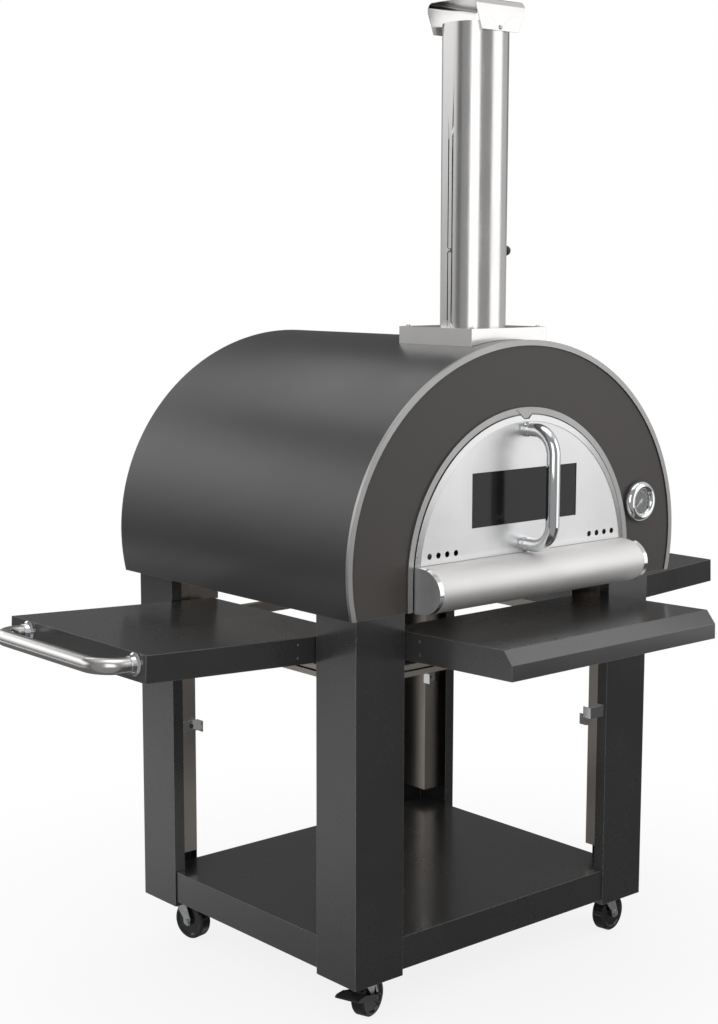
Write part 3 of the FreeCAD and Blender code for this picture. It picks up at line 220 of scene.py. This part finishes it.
# ---------------------------------------------------------------- materials
def paint(name, base, roughness, specular, coat=0.0):
    """Powder coat: orange-peel relief, faint cloudiness and brighter rubbed edges."""
    material, tree, shader, place = begin(name)
    cloud = noise(tree, place, scale=5.0, detail=3.0)
    dust = noise(tree, place, scale=140.0, detail=4.0, roughness=0.7)
    peel = noise(tree, place, scale=620.0)
    dark, light = shade(base, 0.86), shade(base, 1.16)
    patchy = remap(tree, dust, (0.35, 0.65), (0.35, 0.9))
    wear = maths(tree, "MULTIPLY", edge_mask(tree, RUBBED_REACH), patchy)
    tone = colour_mix(tree, wear, colour_mix(tree, cloud, dark, light), RUBBED_COLOUR)
    clouded = spread(tree, cloud, roughness - 0.03, roughness + 0.03)
    dusty = spread(tree, dust, -0.005, 0.01)
    settle(tree, shader, {"Base Color": tone, "Roughness": maths(tree, "ADD", clouded, dusty),
                          "Normal": bump(tree, peel, strength=0.014, depth=0.3 * MM),
                          "Specular IOR Level": specular, "Coat Weight": coat, "Coat Roughness": 0.12})
    return material


def brushed(name, base, roughness, along, streak=0.03, relief=0.05, smudge=0.04):
    """Brushed stainless steel with its grain along one axis ("x", "y" or "z")."""
    material, tree, shader, place = begin(name)
    stretch = [GRAIN_STRETCH if axis == along else 1.0 for axis in "xyz"]
    grain = noise(tree, place, scale=1500.0, detail=3.0, roughness=0.6, stretch=stretch)
    cloud = noise(tree, place, scale=9.0, detail=4.0, roughness=0.6)
    dark, light = shade(base, 1 - streak), shade(base, 1 + streak)
    streaked = spread(tree, grain, roughness - 0.04, roughness + 0.04)
    smudged = spread(tree, cloud, -smudge, smudge)
    settle(tree, shader, {"Base Color": colour_mix(tree, spread(tree, grain, 0.0, 1.0), dark, light),
                          "Roughness": maths(tree, "ADD", streaked, smudged), "Metallic": 1.0,
                          "Normal": bump(tree, grain, strength=relief, depth=0.1 * MM)})
    return material


def polished(name, base, roughness):
    """Mirror-like plated metal with faint wipe marks."""
    material, tree, shader, place = begin(name)
    wipe = noise(tree, place, scale=60.0, detail=4.0, roughness=0.6, stretch=[1.0, 1.0, 0.25])
    fine = noise(tree, place, scale=400.0)
    tone = colour_mix(tree, wipe, shade(base, 0.94), base)
    settle(tree, shader, {"Base Color": tone, "Metallic": 1.0,
                          "Roughness": spread(tree, wipe, roughness * 0.6, roughness * 1.5),
                          "Normal": bump(tree, fine, strength=0.02, depth=0.1 * MM)})
    return material


def zinc(name, dark, light):
    """Zinc plate with a fine crystalline mottling."""
    material, tree, shader, place = begin(name)
    cells = add(tree, "ShaderNodeTexVoronoi", {"Vector": place, "Scale": 260.0}).outputs["Color"]
    grey = add(tree, "ShaderNodeRGBToBW", {0: cells}).outputs[0]
    grain = noise(tree, place, scale=500.0)
    settle(tree, shader, {"Base Color": colour_mix(tree, grey, dark, light), "Metallic": 1.0,
                          "Roughness": remap(tree, grey, (0.0, 1.0), (0.28, 0.42)),
                          "Normal": bump(tree, grain, strength=0.06, depth=0.2 * MM)})
    return material


def plastic(name, base, roughness, grain):
    """Moulded plastic: fine grain and faint scuffs."""
    material, tree, shader, place = begin(name)
    fine = noise(tree, place, scale=grain, detail=3.0)
    scuff = noise(tree, place, scale=45.0, detail=5.0, roughness=0.7)
    scuffed = tuple(c * 2.2 + 0.01 for c in base)
    share = remap(tree, scuff, (0.4, 0.75), (0.0, 0.5))
    settle(tree, shader, {"Base Color": colour_mix(tree, share, base, scuffed),
                          "Roughness": spread(tree, scuff, roughness - 0.05, roughness + 0.08),
                          "Normal": bump(tree, fine, strength=0.10, depth=0.2 * MM)})
    return material


def glass(name, tint, transmission, roughness, specular):
    """Glass with a faint uneven haze."""
    material, tree, shader, place = begin(name)
    haze = noise(tree, place, scale=25.0, detail=3.0)
    settle(tree, shader, {"Base Color": tint, "Roughness": spread(tree, haze, roughness, roughness + 0.03),
                          "IOR": 1.5, "Transmission Weight": transmission, "Specular IOR Level": specular})
    return material


def end_cap(name, flat_colour, rim_colour, rim_roughness):
    """Stainless end cap: satin on its flat end, polished around its rim."""
    material, tree, shader, place = begin(name)
    normal = add(tree, "ShaderNodeNewGeometry").outputs["True Normal"]
    across = add(tree, "ShaderNodeSeparateXYZ", {0: normal}).outputs[0]
    flat = remap(tree, maths(tree, "ABSOLUTE", across), (0.80, 0.95), (0.0, 1.0))
    grain = noise(tree, place, scale=900.0, detail=3.0, roughness=0.6, stretch=[1.0, 1.0, 0.02])
    satin = spread(tree, noise(tree, place, scale=30.0, detail=4.0, roughness=0.6), 0.55, 0.68)
    settle(tree, shader, {"Base Color": colour_mix(tree, flat, rim_colour, flat_colour), "Metallic": 1.0,
                          "Roughness": blend_values(tree, flat, rim_roughness, satin),
                          "Normal": bump(tree, grain, strength=0.05, depth=0.1 * MM)})
    return material


def firebrick(name, dark, light, iron):
    """Pressed fire clay: sandy grain and specks of iron."""
    material, tree, shader, place = begin(name)
    sand = noise(tree, place, scale=260.0, detail=6.0, roughness=0.7)
    cloud = noise(tree, place, scale=14.0, detail=4.0, roughness=0.6)
    specks = add(tree, "ShaderNodeTexVoronoi", {"Vector": place, "Scale": 120.0}).outputs["Distance"]
    speckled = remap(tree, specks, (0.10, 0.16), (0.7, 0.0))
    tone = colour_mix(tree, speckled, colour_mix(tree, cloud, dark, light), iron)
    settle(tree, shader, {"Base Color": tone, "Roughness": 0.9,
                          "Normal": bump(tree, sand, strength=0.5, depth=0.8 * MM)})
    return material


def fibre(name, dark, light):
    """Ceramic fibre blanket: matted white wool."""
    material, tree, shader, place = begin(name)
    wool = noise(tree, place, scale=180.0, detail=8.0, roughness=0.75, stretch=[1.0, 0.35, 1.0])
    settle(tree, shader, {"Base Color": colour_mix(tree, wool, dark, light), "Roughness": 0.95,
                          "Normal": bump(tree, wool, strength=0.8, depth=2.0 * MM), "Sheen Weight": 0.3})
    return material


def build_materials():
    """One finish for each material slot of the record, and the special ones."""
    finishes = {
        "charcoal_paint": (paint, dict(base=(0.027, 0.0262, 0.0258), roughness=0.26, specular=0.75,
                                       coat=0.35)),
        "body_paint": (paint, dict(base=(0.024, 0.0238, 0.024), roughness=0.33, specular=0.6)),
        "panel_paint": (paint, dict(base=(0.050, 0.0445, 0.0405), roughness=0.42, specular=0.4)),
        "brushed_stainless": (brushed, dict(base=(0.78, 0.77, 0.76), roughness=0.22, along="z")),
        "rim_stainless": (brushed, dict(base=(0.62, 0.62, 0.62), roughness=0.22, along="x",
                                        streak=0.02, relief=0.03, smudge=0.02)),
        "door_stainless": (brushed, dict(base=(0.72, 0.72, 0.72), roughness=0.36, along="z")),
        "satin_stainless": (brushed, dict(base=(0.86, 0.845, 0.84), roughness=0.62, along="x")),
        "bright_stainless": (brushed, dict(base=(0.82, 0.82, 0.815), roughness=0.14, along="x",
                                           streak=0.02, relief=0.03, smudge=0.02)),
        "satin_trim": (brushed, dict(base=(0.42, 0.415, 0.412), roughness=0.42, along="y")),
        "satin_tube": (brushed, dict(base=(0.66, 0.65, 0.64), roughness=0.24, along="y")),
        "bare_stainless": (brushed, dict(base=(0.44, 0.405, 0.37), roughness=0.34, along="z", streak=0.06)),
        "end_cap": (end_cap, dict(flat_colour=(0.72, 0.72, 0.72), rim_colour=(0.82, 0.82, 0.815),
                                  rim_roughness=0.12)),
        "polished_chrome": (polished, dict(base=(0.86, 0.87, 0.885), roughness=0.05)),
        "zinc": (zinc, dict(dark=(0.44, 0.46, 0.47), light=(0.70, 0.71, 0.71))),
        "wheel_black": (plastic, dict(base=(0.010, 0.010, 0.011), roughness=0.16, grain=300.0)),
        "black_plastic": (plastic, dict(base=(0.018, 0.018, 0.019), roughness=0.38, grain=700.0)),
        "smoked_glass": (glass, dict(tint=(0.015, 0.015, 0.016), transmission=0.30, roughness=0.08,
                                     specular=0.22)),
        "clear_glass": (glass, dict(tint=(0.96, 0.97, 0.97), transmission=1.0, roughness=0.0, specular=0.2)),
        "dial_black": (plastic, dict(base=(0.016, 0.016, 0.017), roughness=0.45, grain=900.0)),
        "pointer_white": (plastic, dict(base=(0.75, 0.75, 0.73), roughness=0.40, grain=900.0)),
        "firebrick": (firebrick, dict(dark=(0.50, 0.38, 0.25), light=(0.72, 0.60, 0.45),
                                      iron=(0.20, 0.11, 0.07))),
        "ceramic_fibre": (fibre, dict(dark=(0.70, 0.68, 0.62), light=(0.90, 0.89, 0.86))),
    }
    return {name: make(name, **values) for name, (make, values) in finishes.items()}


# ---------------------------------------------------------------- pieces
def edge_width(name):
    """Rounding of a node's edges."""
    if name.startswith(FINE_NODES):
        return FINE_EDGE
    if name == "hearth_stones":
        return STONE_EDGE
    if name in FOLDED_NODES:
        return FOLDED_EDGE
    return SHEET_EDGE


def ease_edges(piece, width):
    """Round the sharp edges of a piece and shade its curved stretches smoothly."""
    stored = piece.data.attributes.get("custom_normal")
    if stored:
        piece.data.attributes.remove(stored)
    piece.data.shade_smooth()
    weld = piece.modifiers.new("weld", "WELD")
    weld.merge_threshold = WELD_GAP
    bevel = piece.modifiers.new("edges", "BEVEL")
    bevel.width = width
    bevel.segments = EDGE_SEGMENTS
    bevel.limit_method = "ANGLE"
    bevel.angle_limit = SHARP_ANGLE
    bevel.harden_normals = True
    bevel.use_clamp_overlap = True


def finish_nodes(materials):
    """Give every CAD node its finish and its eased edges."""
    slots = {subpart["node"]: subpart["material_slot"] for subpart in RECORD["subparts"]}
    slots.update(SPECIAL_FINISH)
    for name, piece in NODES.items():
        piece.data.materials.clear()
        piece.data.materials.append(materials[slots[name]])
        ease_edges(piece, edge_width(name))


def dial_marks(material):
    """Raised scale on the thermometer's dial: long and short ticks round most of a circle."""
    low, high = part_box("gauge_dial")
    middle = (low + high) / 2
    radius = (high.x - low.x) / 2 - DIAL_MARGIN
    centre = Matrix.Translation((middle.x, low.y, middle.z))
    made = bmesh.new()
    for i in range(TICKS):
        length, width = SHORT_TICK if i % 2 else LONG_TICK
        turn = Matrix.Rotation(TICK_MIDDLE + TICK_SWEEP * (i / (TICKS - 1) - 0.5), 4, "Y")
        outward = Matrix.Translation((-radius + length / 2, 0, 0))
        shape = Matrix.Diagonal((length, TICK_RELIEF, width, 1.0))
        bmesh.ops.create_cube(made, size=1.0, matrix=centre @ turn @ outward @ shape)
    mesh = bpy.data.meshes.new("dial_marks")
    made.to_mesh(mesh)
    made.free()
    mesh.materials.append(material)
    piece = bpy.data.objects.new("dial_marks", mesh)
    SCENE.collection.objects.link(piece)
    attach(piece, "cart")


# ---------------------------------------------------------------- floor, lights and camera
def floor():
    """Pale floor that fades into the white surroundings."""
    bpy.ops.mesh.primitive_plane_add(size=FLOOR_SIZE, location=(0, 0, 0))
    plane = bpy.context.object
    plane.name = "floor"
    material, tree, shader, place = begin("floor_white")
    settle(tree, shader, {"Base Color": FLOOR_COLOUR, "Roughness": 0.8})
    distance = add(tree, "ShaderNodeVectorMath", {0: place}, operation="LENGTH").outputs["Value"]
    fade = remap(tree, distance, (FADE_START, FADE_END), (FADE_LEAST, 1.0), smooth=True)
    seen = add(tree, "ShaderNodeLightPath").outputs["Is Camera Ray"]
    glow = add(tree, "ShaderNodeEmission", {"Strength": 1.0})
    share = maths(tree, "MULTIPLY", fade, seen)
    mixed = add(tree, "ShaderNodeMixShader", {0: share, 1: shader.outputs[0], 2: glow.outputs[0]})
    tree.links.new(mixed.outputs[0], tree.nodes["Material Output"].inputs["Surface"])
    plane.data.materials.append(material)
    plane.visible_glossy = False


def card(name, place, target, width, height, radiance):
    """Soft box: a rectangle of light that faces the target."""
    data = bpy.data.lights.new(name, "AREA")
    data.shape = "RECTANGLE"
    data.size = width
    data.size_y = height
    data.energy = radiance * math.pi * width * height
    light = bpy.data.objects.new(name, data)
    SCENE.collection.objects.link(light)
    light.location = place
    light.rotation_euler = (Vector(target) - Vector(place)).to_track_quat("-Z", "Y").to_euler()
    light.visible_camera = False
    return light


def upright_card(name, azimuth, distance, low, high, width, radiance):
    """Soft box that stands round the chimney at an azimuth, in degrees from +X, and faces it."""
    centre = (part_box("flue_pipe")[0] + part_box("flue_pipe")[1]) / 2
    angle = math.radians(azimuth)
    middle = (low + high) / 2
    place = (centre.x + distance * math.cos(angle), centre.y + distance * math.sin(angle), middle)
    card(name, place, (centre.x, centre.y, middle), width, high - low, radiance)


def lights():
    """Two upright soft boxes that draw the chimney's bright bands, a key from the left and two overhead."""
    upright_card("front_right_card", azimuth=-53, distance=1.45, low=0.50, high=2.20, width=1.10,
                 radiance=1.05)
    upright_card("camera_card", azimuth=-134, distance=1.9, low=0.80, high=2.20, width=1.05, radiance=1.40)
    key = card("key_left", place=(-3.6, 0.2, 2.6), target=(0, 0, 0.7), width=2.4, height=2.0, radiance=1.6)
    key.visible_glossy = False
    card("rear_high", place=(0.15, 2.9, 3.85), target=(0, 0, 1.1), width=2.4, height=0.75, radiance=1.85)
    card("top", place=(0.2, -0.4, 4.2), target=(0, 0, 0.8), width=2.6, height=2.6, radiance=1.2)


def side(tree, azimuth, span, feather=WIDE_FEATHER):
    """1 inside a span of azimuths, falling smoothly to 0 outside; degrees."""
    low, high = span
    start = (math.radians(low) - math.radians(feather), math.radians(low) + math.radians(feather))
    end = (math.radians(high) - math.radians(feather), math.radians(high) + math.radians(feather))
    rise = remap(tree, azimuth, start, (0.0, 1.0), smooth=True)
    fall = remap(tree, azimuth, end, (1.0, 0.0), smooth=True)
    return maths(tree, "MULTIPLY", rise, fall)


def above(tree, height, span, below, level):
    """One level below a span of heights and another above it."""
    return blend_values(tree, remap(tree, height, span, (0.0, 1.0), smooth=True), below, level)


def rear_left_wall(tree, height):
    """Bright wall behind and to the left, over a pale strip of floor."""
    foot = remap(tree, height, FOOT_SPAN, (FOOT_LEVEL, FACE_LEVEL))
    face = remap(tree, height, FACE_SPAN, (FACE_LEVEL, BRIGHT_LEVEL))
    wall = above(tree, height, FACE_START, foot, face)
    wall = above(tree, height, FACE_END, wall, TOP_LEVEL)
    ground = above(tree, height, FLOOR_STRIP_START, DARK_FLOOR_LEVEL, FLOOR_STRIP_LEVEL)
    return above(tree, height, FLOOR_STRIP_END, ground, wall)


def reflected_studio(tree, azimuth, height):
    """What polished surfaces see: grey walls, a pale floor strip behind, dark gaps beside the camera."""
    level = blend_values(tree, side(tree, azimuth, REAR_LEFT), SURROUND_LEVEL, rear_left_wall(tree, height))
    level = blend_values(tree, side(tree, azimuth, RIGHT), level, RIGHT_LEVEL)
    rear_right = above(tree, height, HORIZON, remap(tree, height, LOW_SPAN, LOW_LEVELS), RIGHT_TOP_LEVEL)
    level = blend_values(tree, side(tree, azimuth, REAR_RIGHT), level, rear_right)
    front = above(tree, height, FRONT_FLOOR_END, FRONT_FLOOR_LEVEL, level)
    level = blend_values(tree, side(tree, azimuth, FRONT_LOW, FRONT_FEATHER), level, front)
    front = above(tree, height, FRONT_HIGH_START, level, FRONT_HIGH_LEVEL)
    level = blend_values(tree, side(tree, azimuth, FRONT_HIGH), level, front)
    level = blend_values(tree, side(tree, azimuth, LEFT_GAP, GAP_FEATHER), level, GAP_LEVEL)
    return above(tree, height, CEILING_START, level, CEILING_LEVEL)


def ambient(tree, across, height):
    """Soft light that is stronger from above and from the left."""
    lift = remap(tree, height, AMBIENT_HEIGHTS, AMBIENT_LEVELS, smooth=True)
    gain = remap(tree, across, (-1.0, 1.0), (LEFT_GAIN, RIGHT_GAIN), smooth=True)
    return maths(tree, "MULTIPLY", lift, gain)


def world():
    """White surroundings; soft ambient light; a grey studio in reflections."""
    made = bpy.data.worlds.new("studio")
    SCENE.world = made
    made.use_nodes = True
    tree = made.node_tree
    tree.nodes.clear()
    path = add(tree, "ShaderNodeLightPath")
    direction = add(tree, "ShaderNodeTexCoord").outputs["Generated"]
    x, y, z = add(tree, "ShaderNodeSeparateXYZ", {0: direction}).outputs
    studio = reflected_studio(tree, maths(tree, "ARCTAN2", y, x), z)
    level = blend_values(tree, path.outputs["Is Glossy Ray"], ambient(tree, x, z), studio)
    light = add(tree, "ShaderNodeBackground", {"Color": (1, 1, 1, 1), "Strength": level})
    white = add(tree, "ShaderNodeBackground", {"Color": (1, 1, 1, 1), "Strength": 1.0})
    mixed = add(tree, "ShaderNodeMixShader", {0: path.outputs["Is Camera Ray"], 1: light.outputs[0],
                                              2: white.outputs[0]})
    out = add(tree, "ShaderNodeOutputWorld")
    tree.links.new(mixed.outputs[0], out.inputs["Surface"])


def camera():
    """Camera at standing height, before and to the left of the oven."""
    data = bpy.data.cameras.new("camera")
    data.lens = CAMERA_LENS
    data.sensor_width = CAMERA_SENSOR
    made = bpy.data.objects.new("camera", data)
    SCENE.collection.objects.link(made)
    turn = Matrix.Rotation(math.radians(CAMERA_YAW), 4, "Z")
    tilt = Matrix.Rotation(math.radians(90 + CAMERA_PITCH), 4, "X")
    roll = Matrix.Rotation(math.radians(CAMERA_ROLL), 4, "Z")
    made.matrix_world = Matrix.Translation(CAMERA_PLACE) @ turn @ tilt @ roll
    SCENE.camera = made


MATERIALS = build_materials()
finish_nodes(MATERIALS)
dial_marks(MATERIALS["pointer_white"])
floor()
world()
lights()
camera()
SCENE.view_settings.view_transform = "Standard"
